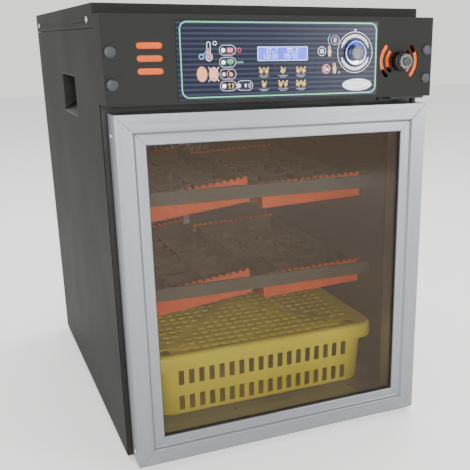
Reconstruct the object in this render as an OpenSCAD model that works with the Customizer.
// Table-top egg incubator: insulated cabinet, glazed door, four tilting egg trays,
// hatching basket, circulation fan with heater, and a control fascia with an air regulator.
// Millimetres, +Z up, front of the cabinet towards -Y, origin at the middle of the footprint.

/* [Cabinet] */
// Outside width of the sheet cabinet
cab_w = 430; // [410:1:520]
// Depth of the cabinet from its front face to its back panel
cab_d = 540; // [500:1:650]
// Height of the cabinet without its feet
cab_h = 575; // [560:1:700]
// Thickness of the painted sheet
sheet_t = 1.5; // [1:0.1:2]
// Total thickness of the insulated side walls
wall_t = 30; // [28:0.5:36]
// Height of the chamber floor above the cabinet bottom
floor_h = 27; // [24:0.5:36]
// Height of the head space above the chamber ceiling
head_h = 135; // [130:1:150]
// Depth of the insulated machine space behind the chamber
rear_bay = 70; // [66:1:90]
// Height of the rubber feet
foot_h = 6; // [4:0.5:12]
// How far the top cover's skirt comes down the sides
skirt_h = 27; // [20:1:40]

/* [Fascia] */
// Height of the control fascia
fascia_h = 99.3; // [96:0.1:104]
// How far the fascia stands in front of the cabinet
fascia_d = 41; // [38:0.5:50]
// Strip of the top cover left above the fascia
fascia_drop = 12.2; // [8:0.1:20]
// Width of the printed control overlay
overlay_w = 263; // [256:1:270]
// Height of the printed control overlay
overlay_h = 89; // [84:0.5:92]
// Thickness of the overlay
overlay_t = 0.8; // [0.5:0.1:1.5]
// Width of the display window
lcd_w = 66.2; // [60:0.1:72]
// Height of the display window
lcd_h = 16.5; // [14:0.1:20]

/* [Air regulator] */
// Radius of the regulator disc
vent_r = 31; // [30:0.5:33]
// Half angle of each slot in the fascia
vent_slot_half = 49; // [42:1:52]
// Half angle of each slot in the disc
vent_disc_half = 40; // [34:1:41]
// Turn of the disc from fully open as it stands
vent_rest = 63; // [0:1:80]
// How far the regulator knob stands out of the fascia
vent_knob_h = 19; // [14:0.5:26]

/* [Door] */
// Gap between the door's edge and the cabinet's side
door_inset = 6.5; // [5:0.1:12]
// Height of the door's lower edge above the cabinet bottom
door_foot = 2.7; // [2:0.1:6]
// Gap between the door and the fascia above it
door_gap = 9.1; // [8:0.1:14]
// Face width of the door's extruded profile
profile_w = 36.3; // [34:0.1:42]
// Depth of the door's extruded profile
profile_d = 36; // [32:0.5:44]
// Thickness of the glass
glass_t = 4; // [3:0.5:6]
// Thickness of the squeezed door seal
seal_t = 6.7; // [5:0.1:9]
// Hinge pin radius
hinge_pin_r = 4; // [3:0.1:4.5]
// Distance of the hinge pins from the door's edge
hinge_in = 8.5; // [8:0.1:12]

/* [Trays] */
// Overall height of a tray frame
tray_h = 36; // [30:1:42]
// Height of the tray frame's rim above its pivot
tray_rim = 12; // [8:0.5:16]
// Gap between the two trays of a shelf
tray_gap = 20; // [16:1:30]
// Gap between a tray and the chamber wall
tray_side = 19; // [14:1:30]
// Distance between the two shelves
shelf_pitch = 133.5; // [126:0.5:150]
// Tilt of the left trays as they stand
tilt_left = 6.7; // [0:0.1:10]
// Tilt of the right trays as they stand
tilt_right = 2; // [0:0.1:10]
// Radius of the tray pivots
pivot_r = 4; // [3:0.5:5]
// Length of the turning cranks
crank_l = 30; // [26:1:34]
// Height of the crossbars that carry the trays
bar_h = 18.5; // [16:0.5:24]

/* [Basket] */
// Height of the hatching basket with its lid on
basket_h = 95; // [70:1:100]
// Height of the basket's lid rim
lid_h = 22; // [16:1:26]
// Gap between the basket and the chamber wall
basket_side = 16; // [14:1:40]
// How far the lid overhangs the basket
lid_over = 12; // [8:1:13]

/* [Hidden] */

$fn = 48;
play = 0.05;          // radial clearance of every running fit
clear = 0.3;          // gap between pieces that pass each other

half_w = cab_w / 2;
inner_w = half_w - wall_t;                 // half width of the chamber
chamber_top = cab_h - head_h;
chamber_back = cab_d - rear_bay;
skin_in = half_w - sheet_t;                // inside of the side panels
seam_z = cab_h - skirt_h;
foam_top = chamber_top + wall_t - sheet_t;

fascia_top = cab_h - fascia_drop;
fascia_low = fascia_top - fascia_h;
fascia_y = -fascia_d;
overlay_z = fascia_low + 4.5 + overlay_h / 2;
lcd_z = fascia_low + 55.75;

door_half = half_w - door_inset;
door_top = fascia_low - door_gap;
door_h = door_top - door_foot;
door_back = -seal_t - clear;
door_y = door_back - profile_d;
band_w = 20.5;                             // outer flat band of the door profile
step_w = 3;                                // chamfered step to the inner band
glass_in = 8.3;                            // how far the glass sits in its groove
groove_y = door_y + 6.5;
groove_t = glass_t + 1;
hinge_x = door_half - hinge_in;
hinge_y = door_y + 21;

tray_w = inner_w - tray_side - tray_gap / 2;
tray_x = tray_gap / 2 + tray_w / 2;
tray_y0 = 60.2;
tray_low = tray_rim - tray_h;
tray_wall = 2;
tray_end = chamber_back - 66;
lid_top = floor_h + basket_h;
lid_plate = 2.5;                           // thickness of the lid's perforated top
shelf_low = lid_top + (tray_w / 2 - tray_low) * cos(45) + 6.8;
shelves = [shelf_low, shelf_low + shelf_pitch];
bar_front_y = 55;
bar_t = 4;
blind_t = 1;                               // metal left in front of the front bars' pivot holes
bar_rear_y = tray_end + 2;
crank_y = bar_rear_y + bar_t + 1.5;
crank_t = 3;
link_y = crank_y + crank_t + 0.5;
link_t = 3;
crank_pin_r = 3;

fan_z = chamber_top - 75;
fan_r = 48;
knob_front = fascia_y - vent_knob_h;
rear_proud = 5.55;                         // how far the power rocker stands out at the back
depth_mid = (knob_front + cab_d + rear_proud) / 2;

paint = [0.20, 0.21, 0.20];
orange = [0.78, 0.36, 0.16];
silver = [0.66, 0.68, 0.70];
yellow = [0.82, 0.76, 0.22];
black = [0.07, 0.07, 0.08];
steel = [0.62, 0.63, 0.64];
bar_grey = [0.42, 0.43, 0.42];
smoked = [0.25, 0.18, 0.13];

// Everything is drawn from the cabinet's front face and bottom, then stood on its feet.
module placed() { translate([0, -depth_mid, foot_h]) children(); }

module block(low, high) { translate(low) cube(high - low); }

module rod_y(x, z, y0, y1, r) { translate([x, y0, z]) rotate([-90, 0, 0]) cylinder(r = r, h = y1 - y0); }

module rounded(w, h, r) {
    square([w - 2 * r, h], center = true);
    square([w, h - 2 * r], center = true);
    for (sx = [-1, 1], sy = [-1, 1]) translate([sx * (w / 2 - r), sy * (h / 2 - r)]) circle(r);
}

module oblong(length, width) {
    square([length - width, width], center = true);
    for (s = [-1, 1]) translate([s * (length - width) / 2, 0]) circle(width / 2);
}

// A flat shape drawn in x and z, given thickness along y from y0 to y1
module upright(y0, y1) { translate([0, y1, 0]) rotate([90, 0, 0]) linear_extrude(y1 - y0) children(); }

// ---------------------------------------------------------------- cabinet skin
handle_y = [166, 280];
handle_z = [cab_h - 141, cab_h - 85.5];
handle_deep = 23.5;
inlet_x = -120;
inlet_z = cab_h - 70;
inlet_w = 47;
inlet_h = 27;
rear_slots = 9;                            // cooling slots in each of two rows in the back
rear_slot_pitch = 16;

module base_panel() color(paint) placed()
    block([-skin_in, sheet_t, 0], [skin_in, cab_d - sheet_t, sheet_t]);

module side_panel(side) color(paint) placed() difference() {
    block([min(side * skin_in, side * half_w), 0, 0],
          [max(side * skin_in, side * half_w), cab_d, seam_z - 0.5]);
    block([side * half_w - 5, handle_y[0], handle_z[0]], [side * half_w + 5, handle_y[1], handle_z[1]]);
}
module side_panel_left() side_panel(-1);
module side_panel_right() side_panel(1);

module back_panel() color(paint) placed() difference() {
    block([-skin_in, cab_d - sheet_t, 0], [skin_in, cab_d, seam_z - 0.5]);
    block([inlet_x - inlet_w / 2, cab_d - 5, inlet_z - inlet_h / 2],
          [inlet_x + inlet_w / 2, cab_d + 5, inlet_z + inlet_h / 2]);
    for (i = [0:rear_slots - 1], z = [inlet_z - 12, inlet_z + 12])
        upright(cab_d - 5, cab_d + 5) translate([20 + rear_slot_pitch * i, z]) rotate(90) oblong(16, 5);
}

// Four screws hold the cover's skirt; their own +Z points out of the cabinet's side
cover_screw_r = 1.6;
module at_cover_screws() for (sx = [-1, 1], y = [36, cab_d - 36])
    translate([sx * half_w, y, cab_h - 17.5]) rotate([0, sx * 90, 0]) children();

module top_cover() color(paint) placed() difference() {
    block([-half_w, 0, seam_z], [half_w, cab_d, cab_h]);
    block([-skin_in, sheet_t, seam_z - 1], [skin_in, cab_d - sheet_t, cab_h - sheet_t]);
    block([-skin_in, -1, seam_z - 1], [skin_in, sheet_t + 1, fascia_top]);
    at_cover_screws() translate([0, 0, -5]) cylinder(r = cover_screw_r + play, h = 6);
}

header = 9;            // lip of the front frame that backs the door seal above the chamber
module front_frame() color(black) placed() difference() {
    block([-skin_in, 0, 0], [skin_in, sheet_t, fascia_top]);
    block([-inner_w, -1, floor_h], [inner_w, sheet_t + 1, chamber_top - header]);
    block([-half_w + 40, -1, fascia_low + 15], [half_w - 40, sheet_t + 1, fascia_top - 13]);
}

cup_wall = 1.5;
module handle_cups() color(black) placed() for (s = [0, 1]) mirror([s, 0, 0]) difference() {
    block([half_w - handle_deep, handle_y[0], handle_z[0]], [half_w, handle_y[1], handle_z[1]]);
    upright(handle_y[0] + cup_wall, handle_y[1] - cup_wall)
        polygon([[half_w + 1, handle_z[0] + 2], [half_w - handle_deep + cup_wall, handle_z[0] + 18],
                 [half_w - handle_deep + cup_wall, handle_z[1] - cup_wall],
                 [half_w + 1, handle_z[1] - cup_wall]]);
}

module rubber_feet() color(black) placed()
    for (sx = [-1, 1], y = [45, cab_d - 45])
        translate([sx * (half_w - 42), y, -foot_h]) cylinder(r = 14, h = foot_h);

module cover_screws() color(silver) placed() at_cover_screws() {
    cylinder(r = 2.25 * cover_screw_r, h = 1.3);
    translate([0, 0, -6]) cylinder(r = cover_screw_r, h = 6);
}

// ---------------------------------------------------------------- chamber
module liner_floor() color(steel) placed()
    block([-inner_w, sheet_t, floor_h - sheet_t], [inner_w, chamber_back, floor_h]);
module liner_side(side) color(steel) placed()
    block([min(side * inner_w, side * (inner_w + sheet_t)), sheet_t, floor_h - sheet_t],
          [max(side * inner_w, side * (inner_w + sheet_t)), chamber_back, chamber_top + sheet_t]);
module liner_left() liner_side(-1);
module liner_right() liner_side(1);
module liner_ceiling() color(steel) placed()
    block([-inner_w, sheet_t, chamber_top], [inner_w, chamber_back, chamber_top + sheet_t]);
module liner_back() color(steel) placed() difference() {
    block([-inner_w - sheet_t, chamber_back, floor_h - sheet_t],
          [inner_w + sheet_t, chamber_back + sheet_t, chamber_top + sheet_t]);
    rod_y(-tray_x, shelves[0], chamber_back - 1, chamber_back + 5, pivot_r + 1);
}

foam_back = chamber_back + sheet_t + 25.5;
module insulation() color([0.86, 0.84, 0.74]) placed() {
    block([-skin_in, sheet_t, sheet_t], [skin_in, foam_back, floor_h - sheet_t]);
    block([-inner_w - sheet_t, sheet_t, chamber_top + sheet_t],
          [inner_w + sheet_t, chamber_back, foam_top]);
    difference() {
        block([-inner_w - sheet_t, chamber_back + sheet_t, floor_h - sheet_t],
              [inner_w + sheet_t, foam_back, foam_top]);
        rod_y(-tray_x, shelves[0], chamber_back - 1, foam_back + 1, pivot_r + 1);
    }
    for (s = [0, 1]) mirror([s, 0, 0]) difference() {
        block([inner_w + sheet_t, sheet_t, floor_h - sheet_t], [skin_in, foam_back, foam_top]);
        block([half_w - handle_deep, handle_y[0], handle_z[0]], [half_w, handle_y[1], handle_z[1]]);
    }
}

// ---------------------------------------------------------------- fascia and controls
vent_x = half_w - 50.3;
vent_z = fascia_low + 45.2;
knob_x = 99;
knob_z = fascia_low + 56;
intake_x = -half_w + 53;
intake_zs = [for (k = [0:2]) fascia_low + 37.5 + 14 * k];
led_x = -75.8;
led_zs = [for (k = [0:3]) fascia_low + 19.5 + 13.5 * k];
led_r = 2.5;
cap_r = 7;
spindle_r = 4;
face_y = fascia_y + sheet_t;

module arc_slot(r0, r1, half) {
    intersection() {
        difference() {
            circle(r1);
            circle(r0);
        }
        polygon([[0, 0], [60 * cos(half), -60 * sin(half)], [60, -60 * sin(half)],
                 [60, 60 * sin(half)], [60 * cos(half), 60 * sin(half)]]);
    }
    for (s = [-1, 1]) rotate(s * half) translate([(r0 + r1) / 2, 0]) circle((r1 - r0) / 2 - 0.15);
}
module vent_slots(half) for (turn = [0, 180]) rotate(turn) {
    arc_slot(23, 28.7, half - 6);
    arc_slot(14.8, 20.2, half - 9);
}

module led_places(y0, y1, r) {
    for (z = led_zs) rod_y(led_x, z, y0, y1, r);
    rod_y(led_x + 18.5, led_zs[0], y0, y1, r);
}

// Four fixings near the ends of the fascia, each under a push-on cap
cap_stem_r = 2;
module at_caps() for (sx = [-1, 1], z = [23.5, 59])
    translate([sx * (half_w - 8.5), fascia_y, fascia_low + z]) children();

module fascia() color(paint) placed() difference() {
    block([-half_w, fascia_y, fascia_low], [half_w, 0, fascia_top]);
    block([-skin_in, face_y, fascia_low + sheet_t], [skin_in, 1, fascia_top - sheet_t]);
    for (z = intake_zs)
        upright(fascia_y - 1, face_y + 1) translate([intake_x, z]) oblong(30, 7);
    upright(fascia_y - 1, face_y + 1) translate([vent_x, vent_z]) vent_slots(vent_slot_half);
    rod_y(vent_x, vent_z, fascia_y - 1, face_y + 1, spindle_r + play);
    rod_y(knob_x, knob_z, fascia_y - 1, face_y + 1, 3.5 + play);
    block([-lcd_w / 2, fascia_y - 1, lcd_z - lcd_h / 2], [lcd_w / 2, face_y + 1, lcd_z + lcd_h / 2]);
    led_places(fascia_y - 1, face_y + 1, led_r + play);
    at_caps() rod_y(0, 0, -1, sheet_t + 1, cap_stem_r + play);
}

module intake_plate() color(orange) placed()
    block([intake_x - 20, face_y, intake_zs[0] - 8], [intake_x + 20, face_y + 1.5, intake_zs[2] + 8]);

module overlay() color([0.16, 0.17, 0.22]) placed() difference() {
    upright(fascia_y - overlay_t, fascia_y) translate([0, overlay_z]) rounded(overlay_w, overlay_h, 2);
    block([-lcd_w / 2, fascia_y - 2, lcd_z - lcd_h / 2], [lcd_w / 2, fascia_y + 1, lcd_z + lcd_h / 2]);
    led_places(fascia_y - 2, fascia_y + 1, led_r + play);
    rod_y(knob_x, knob_z, fascia_y - 2, fascia_y + 1, 3.5 + play);
}

module lcd_module() color([0.3, 0.38, 0.9]) placed() {
    block([-40, face_y, lcd_z - 18], [40, face_y + 7, lcd_z + 18]);
    block([-lcd_w / 2 + 0.2, fascia_y - overlay_t + 0.4, lcd_z - lcd_h / 2 + 0.2],
          [lcd_w / 2 - 0.2, face_y, lcd_z + lcd_h / 2 - 0.2]);
}

module indicator_leds() color([0.7, 0.95, 0.75]) placed()
    led_places(fascia_y - overlay_t, face_y + 5, led_r);

module control_board() color([0.08, 0.3, 0.16]) placed() {
    block([-110, face_y + 9, fascia_low + 8], [118, face_y + 10.6, fascia_top - 8]);
    for (sx = [-1, 1], z = [fascia_low + 14, fascia_top - 14]) rod_y(sx * 104, z, face_y, face_y + 9, 3);
    block([-100, face_y + 10.6, fascia_low + 20], [-60, face_y + 20, fascia_low + 50]);
    block([20, face_y + 10.6, fascia_low + 16], [70, face_y + 26, fascia_low + 34]);
}

// Rotary encoder: fixed case, sprung plunger, and the knob with its shaft
enc_y = face_y + 3;
module encoder_body() color(black) placed() difference() {
    block([knob_x - 7, enc_y - 3, knob_z - 7], [knob_x + 7, enc_y + 6, knob_z + 7]);
    rod_y(knob_x, knob_z, enc_y - 4, enc_y + 4.5, 3.5 + play);
}
module encoder_plunger() color(steel) placed() rod_y(knob_x, knob_z, enc_y + 1, enc_y + 3, 3.5);
hub_r = 9;
hub_foot = 3.6;                            // front of the skirt, ahead of the fascia
hub_flutes = 24;
module encoder_knob() color([0.5, 0.52, 0.56]) placed() {
    rod_y(knob_x, knob_z, fascia_y - 8, enc_y + 0.9, 3);
    rod_y(knob_x, knob_z, fascia_y - hub_foot, fascia_y - 2.1, 15);
    rod_y(knob_x, knob_z, fascia_y - 10.5, fascia_y - hub_foot, hub_r);
    for (k = [0:hub_flutes - 1]) translate([knob_x, 0, knob_z]) rotate([0, k * 360 / hub_flutes, 0])
        rod_y(hub_r, 0, fascia_y - 10, fascia_y - hub_foot, 0.7);
}

module screw_caps() color([0.3, 0.31, 0.32]) placed()
    at_caps() {
        rotate([90, 0, 0]) cylinder(r1 = cap_r, r2 = cap_r - 1.2, h = 2.4);
        rod_y(0, 0, 0, 6, cap_stem_r);
    }

// Air regulator: lobed knob on a spindle that carries the slotted disc
module vent_knob() color(black) placed() {
    rod_y(vent_x, vent_z, knob_front + 1, fascia_y - 0.5, 9.5);
    for (k = [0:7]) translate([vent_x, 0, vent_z]) rotate([0, k * 45, 0])
        rod_y(9.3, 0, knob_front + 1.8, fascia_y - 6, 3.2);
    rod_y(vent_x, vent_z, knob_front, knob_front + 2, 6);
    rod_y(vent_x, vent_z, knob_front + 4, face_y + 2, spindle_r);
}
module vent_disc() color(orange) placed() translate([vent_x, 0, vent_z]) rotate([0, -vent_rest, 0])
    upright(face_y + clear, face_y + clear + 1.5) difference() {
        circle(vent_r);
        vent_slots(vent_disc_half);
        circle(spindle_r + play);
    }

// ---------------------------------------------------------------- door
// The profile is drawn with x = distance in from the door's edge and y = depth
module profile() difference() {
    polygon([[0, door_y], [band_w, door_y], [band_w + step_w, door_y + 3], [profile_w - 1, door_y + 3],
             [profile_w, door_y + 4], [profile_w, door_back], [0, door_back]]);
    translate([profile_w - glass_in, groove_y]) square([glass_in + 1, groove_t]);
    translate([2.5, door_y + 2.5]) square([band_w - 3, profile_d - 5]);
}
// A bar of profile along +X or +Z, mitred at both ends
module mitred(length) intersection() {
    translate([-length / 2, 0, 0]) rotate([90, 0, 90]) linear_extrude(length) children();
    upright(door_y - 1, door_back + 1)
        polygon([[-length / 2, 0], [length / 2, 0], [length / 2 - profile_w - 2, profile_w + 2],
                 [-length / 2 + profile_w + 2, profile_w + 2]]);
}
// profile turned so that its depth stays along y and its width runs up
module profile_up() mirror([1, -1]) profile();

bush_l = 26;
bush_r = hinge_pin_r + 1.5;
module hinge_hole(z0, z1) translate([hinge_x, hinge_y, z0]) cylinder(r = bush_r, h = z1 - z0);

module door_rail_bottom() color(silver) placed() difference() {
    translate([0, 0, door_foot]) mitred(2 * door_half) profile_up();
    hinge_hole(door_foot - 1, door_foot + bush_l);
}
module door_rail_top() color(silver) placed() difference() {
    translate([0, 0, door_top]) mirror([0, 0, 1]) mitred(2 * door_half) profile_up();
    hinge_hole(door_top - bush_l, door_top + 1);
}
module stile()
    translate([-door_half, 0, door_foot + door_h / 2]) rotate([0, 90, 0]) mitred(door_h) profile_up();
module door_stile_left() color(silver) placed() stile();
module door_stile_right() color(silver) placed() difference() {
    mirror([1, 0, 0]) stile();
    hinge_hole(door_foot - 1, door_foot + bush_l);
    hinge_hole(door_top - bush_l, door_top + 1);
}

module door_plate(edge, y0, y1)
    block([-door_half + edge, y0, door_foot + edge], [door_half - edge, y1, door_top - edge]);
module door_ring(edge, y0, y1) difference() {
    door_plate(edge[0], y0, y1);
    door_plate(edge[1], y0 - 1, y1 + 1);
}
pane_edge = profile_w - glass_in;
gasket_t = (groove_t - glass_t) / 2;
module pane() door_plate(pane_edge + gasket_t, groove_y + gasket_t, groove_y + gasket_t + glass_t);
module door_glass() color([0.35, 0.3, 0.25, 0.4]) placed() pane();
module glazing_gasket() color(black) placed() difference() {
    door_ring([pane_edge, profile_w + 0.8], groove_y, groove_y + groove_t);
    pane();
}
module door_seal() color(black) placed() door_ring([11, 22], door_back, -clear);

module door_screws() color(steel) placed()
    for (sx = [-1, 1], z = [door_foot + 15, door_top - 25])
        translate([sx * door_half, hinge_y, z]) rotate([0, sx * 90, 0]) cylinder(r = 3.2, h = 1);

module hinge_bushes() color(steel) placed()
    for (z = [door_foot, door_top - bush_l]) translate([hinge_x, hinge_y, z]) difference() {
        cylinder(r = bush_r, h = bush_l);
        translate([0, 0, -1]) cylinder(r = hinge_pin_r + play, h = bush_l + 2);
    }

bracket_t = 3;
module hinge_brackets() color([0.25, 0.26, 0.27]) placed() {
    block([hinge_x - 42, hinge_y - 12, fascia_low - bracket_t], [hinge_x + 9, 0, fascia_low]);
    block([hinge_x - 42, -bracket_t, fascia_low - bracket_t - 4],
          [hinge_x - 12, 0, fascia_low - bracket_t]);
    translate([hinge_x, hinge_y, door_top - bush_l + 2])
        cylinder(r = hinge_pin_r, h = bush_l - 2 + door_gap - bracket_t);
    block([hinge_x - 42, hinge_y - 12, -bracket_t], [hinge_x + 9, 26, 0]);
    translate([hinge_x, hinge_y, 0]) cylinder(r = hinge_pin_r, h = door_foot + bush_l - 2);
}

// ---------------------------------------------------------------- tray turning gear
// A bar's pivot holes start bore_y behind its face: blind in the front bars, through in the rear ones
module crossbars(y, bore_y) for (z = shelves) difference() {
    union() {
        block([-inner_w, y, z - bar_h / 2], [inner_w, y + bar_t, z + bar_h / 2]);
        for (s = [0, 1]) mirror([s, 0, 0])
            block([inner_w - bar_t, y, z - bar_h / 2], [inner_w, y + 18, z + bar_h / 2]);
    }
    for (sx = [-1, 1]) rod_y(sx * tray_x, z, y + bore_y, y + bar_t + 1, pivot_r + play);
}
module front_crossbars() color(bar_grey) placed() crossbars(bar_front_y, blind_t);
module rear_crossbars() color(bar_grey) placed()
    translate([0, 2 * bar_rear_y + bar_t, 0]) mirror([0, 1, 0]) crossbars(bar_rear_y, -1);

module at_shelf(sx, z, tilt) placed() translate([sx * tray_x, 0, z]) rotate([0, -tilt, 0]) children();

// Tray frame with notched end plates and its pivots; the crank on the rear pivot hangs straight down
notch_pitch = 10;
notch_w = 5;
notch_deep = 3;
notch_run = floor((tray_w / 2 - 6) / notch_pitch) * notch_pitch;
module carrier(sx, z, tilt) color(orange) {
    at_shelf(sx, z, tilt) {
        for (y = [tray_y0, tray_end - tray_wall]) difference() {
            block([-tray_w / 2, y, tray_low], [tray_w / 2, y + tray_wall, tray_rim]);
            for (x = [-notch_run:notch_pitch:notch_run + 0.1])
                block([x - notch_w / 2, y - 1, tray_rim - notch_deep],
                      [x + notch_w / 2, y + tray_wall + 1, tray_rim + 1]);
        }
        for (s = [0, 1]) mirror([s, 0, 0]) {
            block([tray_w / 2 - tray_wall, tray_y0, tray_low], [tray_w / 2, tray_end, tray_low + 12]);
            block([tray_w / 2 - 12, tray_y0, tray_low], [tray_w / 2, tray_end, tray_low + tray_wall]);
        }
        rod_y(0, 0, bar_front_y + blind_t + clear, tray_y0 + 0.5, pivot_r);
        rod_y(0, 0, tray_end - 0.5, crank_y + crank_t, pivot_r);
    }
    placed() translate([sx * tray_x, 0, z]) {
        upright(crank_y, crank_y + crank_t) {
            circle(8);
            translate([0, -crank_l]) circle(7);
            translate([-5, -crank_l]) square([10, crank_l]);
        }
        rod_y(0, -crank_l, crank_y + crank_t - 0.5, link_y + link_t + 1.5, crank_pin_r);
    }
}
module carrier_upper_left() carrier(-1, shelves[1], tilt_left);
module carrier_upper_right() carrier(1, shelves[1], tilt_right);
module carrier_lower_left() carrier(-1, shelves[0], tilt_left);
module carrier_lower_right() carrier(1, shelves[0], tilt_right);

// Egg tray: three by seven cells over a pierced floor
cells_x = 3;
cells_y = 7;
egg_hole_r = 19;
rib = 1.5;
rib_h = 14;
module egg_tray(sx, z, tilt) color(smoked) at_shelf(sx, z, tilt) {
    wide = tray_w - 2 * tray_wall - 1;
    y0 = tray_y0 + tray_wall + 0.5;
    y1 = tray_end - tray_wall - 0.5;
    z0 = tray_low + tray_wall;
    z1 = tray_rim - 4;
    cell_w = (wide - tray_wall) / cells_x;
    cell_l = (y1 - y0 - tray_wall) / cells_y;
    difference() {
        block([-wide / 2, y0, z0], [wide / 2, y1, z1]);
        block([-wide / 2 + tray_wall, y0 + tray_wall, z0 + tray_wall],
              [wide / 2 - tray_wall, y1 - tray_wall, z1 + 1]);
        for (i = [0:cells_x - 1], j = [0:cells_y - 1])
            translate([(i - (cells_x - 1) / 2) * cell_w, y0 + tray_wall / 2 + (j + 0.5) * cell_l, z0 - 1])
                cylinder(r = egg_hole_r, h = tray_wall + 2);
    }
    for (i = [1:cells_x - 1])
        block([(i - cells_x / 2) * cell_w - rib / 2, y0 + tray_wall, z0 + tray_wall],
              [(i - cells_x / 2) * cell_w + rib / 2, y1 - tray_wall, z0 + tray_wall + rib_h]);
    for (j = [1:cells_y - 1])
        block([-wide / 2 + tray_wall, y0 + tray_wall / 2 + j * cell_l - rib / 2, z0 + tray_wall],
              [wide / 2 - tray_wall, y0 + tray_wall / 2 + j * cell_l + rib / 2, z0 + tray_wall + rib_h]);
}
module egg_tray_upper_left() egg_tray(-1, shelves[1], tilt_left);
module egg_tray_upper_right() egg_tray(1, shelves[1], tilt_right);
module egg_tray_lower_left() egg_tray(-1, shelves[0], tilt_left);
module egg_tray_lower_right() egg_tray(1, shelves[0], tilt_right);

// One link ties the four cranks together
module turning_link() color(steel) placed() upright(link_y, link_y + link_t) difference() {
    union() {
        for (z = shelves) {
            translate([-tray_x, z - crank_l - 5]) square([2 * tray_x, 10]);
            for (sx = [-1, 1]) translate([sx * tray_x, z - crank_l]) circle(7);
        }
        translate([-5, shelves[0] - crank_l]) square([10, shelf_pitch]);
    }
    for (z = shelves, sx = [-1, 1]) translate([sx * tray_x, z - crank_l]) circle(crank_pin_r + play);
}

// Output shaft from the gear motor to the lower left tray frame
motor_y = foam_back;
module turning_shaft() color(steel) placed()
    rod_y(-tray_x, shelves[0], crank_y + crank_t, motor_y + 14, pivot_r);
module gear_motor() color([0.5, 0.5, 0.52]) placed() difference() {
    union() {
        block([-tray_x - 34, motor_y, shelves[0] - 30], [-tray_x + 34, motor_y + 2, shelves[0] + 30]);
        block([-tray_x - 25, motor_y + 2, shelves[0] - 25], [-tray_x + 25, motor_y + 18, shelves[0] + 25]);
        rod_y(-tray_x, shelves[0] + 5, motor_y + 18, motor_y + 36, 18);
    }
    rod_y(-tray_x, shelves[0], motor_y - 1, motor_y + 14.5, pivot_r + play);
}

// ---------------------------------------------------------------- air, heat and water
motor_face = chamber_back - 14;
module fan_motor() color([0.2, 0.2, 0.22]) placed() difference() {
    union() {
        rod_y(0, fan_z, motor_face, chamber_back, 19);
        rod_y(0, fan_z, chamber_back - 2, chamber_back, 28);
    }
    rod_y(0, fan_z, motor_face - 1, motor_face + 10, 2.5 + play);
}
module fan_impeller() color(black) placed() translate([0, 0, fan_z]) {
    rod_y(0, 0, motor_face - 19, motor_face - 2, 15);
    rod_y(0, 0, motor_face - 3, motor_face + 9, 2.5);
    for (k = [0:6]) rotate([0, k * 360 / 7, 0]) translate([0, motor_face - 10.5, 0])
        rotate([32, 0, 0]) block([13, -0.8, -9], [fan_r - 2, 0.8, 9]);
}
guard_y = motor_face - 26;
module fan_guard() color(steel) placed() {
    upright(guard_y - 1, guard_y + 1) translate([0, fan_z]) {
        for (r = [12:9:fan_r + 1]) difference() {
            circle(r + 1);
            circle(r - 1);
        }
        for (k = [0:3]) rotate(45 + k * 90) translate([11.5, -1]) square([fan_r - 9, 2]);
    }
    for (k = [0:3]) translate([0, 0, fan_z]) rotate([0, 45 + k * 90, 0])
        rod_y(fan_r + 1.5, 0, guard_y - 1, chamber_back, 2);
}
heat_r = fan_r + 10;
module heater_coil() color([0.55, 0.35, 0.25]) placed() {
    for (y = [0, 10]) translate([0, motor_face - 8 - y, fan_z]) rotate([90, 0, 0])
        rotate_extrude() translate([heat_r, 0]) circle(3);
    for (sx = [-1, 1]) rod_y(sx * heat_r, fan_z, motor_face - 18, chamber_back, 2.5);
}
module climate_probe() color([0.85, 0.85, 0.83]) placed() {
    translate([60, 240, chamber_top - 6]) cylinder(r = 11, h = 6);
    translate([60, 240, chamber_top - 30]) cylinder(r = 7, h = 25);
}
module water_tray() color([0.8, 0.82, 0.85]) placed() difference() {
    block([-150, chamber_back - 62, floor_h], [150, chamber_back - 6, floor_h + 34]);
    block([-148, chamber_back - 60, floor_h + 2], [148, chamber_back - 8, floor_h + 35]);
}

// ---------------------------------------------------------------- hatching basket
basket_half = inner_w - basket_side;
basket_y0 = 27;
basket_y1 = chamber_back - 68;
basket_mid = (basket_y0 + basket_y1) / 2;
basket_l = basket_y1 - basket_y0;
basket_wall = 2.5;
basket_corner = 28;
slot_size = [8, 22.5];                     // width and height of a slot in the basket's walls
slot_pitch = 15;
slot_rows = [7, 46.4];                     // foot of each row of slots above the chamber floor
slot_margin = 40;                          // plain wall left at each corner
// Places of the slots along a wall, counted from its middle
function spots(length) = let (gaps = floor((length - 2 * slot_margin) / slot_pitch))
    [for (k = [0:gaps]) (k - gaps / 2) * slot_pitch];

module hatching_basket() color(yellow) placed() difference() {
    translate([0, basket_mid, floor_h]) linear_extrude(basket_h - lid_plate)
        rounded(2 * basket_half, basket_l, basket_corner);
    translate([0, basket_mid, floor_h + basket_wall]) linear_extrude(basket_h)
        rounded(2 * (basket_half - basket_wall), basket_l - 2 * basket_wall, basket_corner - basket_wall);
    for (row = slot_rows) translate([0, basket_mid, floor_h + row + slot_size.y / 2]) {
        for (u = spots(2 * basket_half))
            translate([u, 0, 0]) cube([slot_size.x, basket_l + 2, slot_size.y], center = true);
        for (v = spots(basket_l))
            translate([0, v, 0]) cube([2 * basket_half + 2, slot_size.x, slot_size.y], center = true);
    }
}

lid_half = basket_half + lid_over;
lid_len = basket_l + 10;
lid_corner = 30;
lid_rim = 2.5;                             // thickness of the rim around the lid
lid_slot = [9.5, 6.5];
lid_pitch = [14.6, 17.6];
lid_edge = [30, 14];                       // plain border outside the outermost slots' middles
lid_cells = [floor((lid_half - lid_edge.x) / lid_pitch.x),
             floor((lid_len / 2 - lid_edge.y) / lid_pitch.y)];
lid_hole = [11, 20];                       // finger hole in each corner of the lid
lid_hole_in = [36, 21];                    // its middle, in from the lid's edges
// Cells along the diagonals and around the finger holes stay plain
function plain(i, j) = abs(i) == abs(j) || (abs(i) > lid_cells.x - 2 && abs(j) > lid_cells.y - 2);

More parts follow.
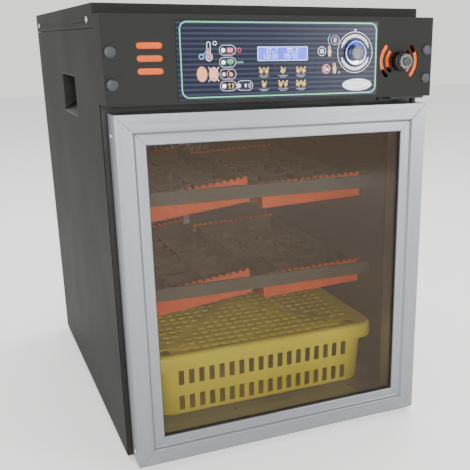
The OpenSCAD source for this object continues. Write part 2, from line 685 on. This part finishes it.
module basket_lid() color(yellow) placed() translate([0, basket_mid, lid_top]) {
    translate([0, 0, -lid_plate]) linear_extrude(lid_plate) difference() {
        rounded(2 * lid_half, lid_len, lid_corner);
        for (i = [-lid_cells.x:lid_cells.x], j = [-lid_cells.y:lid_cells.y]) if (!plain(i, j))
            translate([i * lid_pitch.x, j * lid_pitch.y]) square(lid_slot, center = true);
        for (sx = [-1, 1], sy = [-1, 1])
            translate([sx * (lid_half - lid_hole_in.x), sy * (lid_len / 2 - lid_hole_in.y)])
                square(lid_hole, center = true);
    }
    translate([0, 0, -lid_h]) linear_extrude(lid_h - lid_plate) difference() {
        rounded(2 * lid_half, lid_len, lid_corner);
        rounded(2 * (lid_half - lid_rim), lid_len - 2 * lid_rim, lid_corner - lid_rim);
    }
}

// ---------------------------------------------------------------- mains inlet
rocker_x = inlet_x + 13;
module power_inlet() color(black) placed() {
    difference() {
        union() {
            block([inlet_x - inlet_w / 2, cab_d - 30, inlet_z - inlet_h / 2],
                  [inlet_x + inlet_w / 2, cab_d, inlet_z + inlet_h / 2]);
            upright(cab_d, cab_d + 2.5) translate([inlet_x, inlet_z]) rounded(inlet_w + 12, inlet_h + 6, 4);
        }
        block([inlet_x - 21, cab_d - 16, inlet_z - 8], [inlet_x + 1, cab_d + 3, inlet_z + 8]);
        block([rocker_x - 6.5, cab_d - 9, inlet_z - 10], [rocker_x + 6.5, cab_d + 3, inlet_z + 10]);
    }
    for (x = [-17, -10, -3])
        block([inlet_x + x - 1, cab_d - 17, inlet_z - 2], [inlet_x + x + 1, cab_d - 4, inlet_z + 2]);
}
module power_rocker() color([0.75, 0.1, 0.08]) placed() translate([rocker_x, cab_d - 3, inlet_z])
    rotate([8, 0, 0]) intersection() {
        rotate([0, 90, 0]) translate([0, 0, -6.1]) cylinder(r = 9.2, h = 12.2);
        block([-6.1, -4, -9], [6.1, 8, 9]);
    }

base_panel();
side_panel_left();
side_panel_right();
back_panel();
top_cover();
front_frame();
liner_floor();
liner_left();
liner_right();
liner_ceiling();
liner_back();
insulation();
handle_cups();
rubber_feet();
cover_screws();
fascia();
intake_plate();
overlay();
lcd_module();
indicator_leds();
control_board();
encoder_body();
encoder_plunger();
encoder_knob();
screw_caps();
vent_knob();
vent_disc();
hinge_brackets();
door_stile_left();
door_stile_right();
door_rail_top();
door_rail_bottom();
door_glass();
glazing_gasket();
door_seal();
door_screws();
hinge_bushes();
front_crossbars();
rear_crossbars();
carrier_upper_left();
carrier_upper_right();
carrier_lower_left();
carrier_lower_right();
egg_tray_upper_left();
egg_tray_upper_right();
egg_tray_lower_left();
egg_tray_lower_right();
turning_link();
turning_shaft();
gear_motor();
fan_motor();
fan_impeller();
fan_guard();
heater_coil();
climate_probe();
water_tray();
hatching_basket();
basket_lid();
power_inlet();
power_rocker();
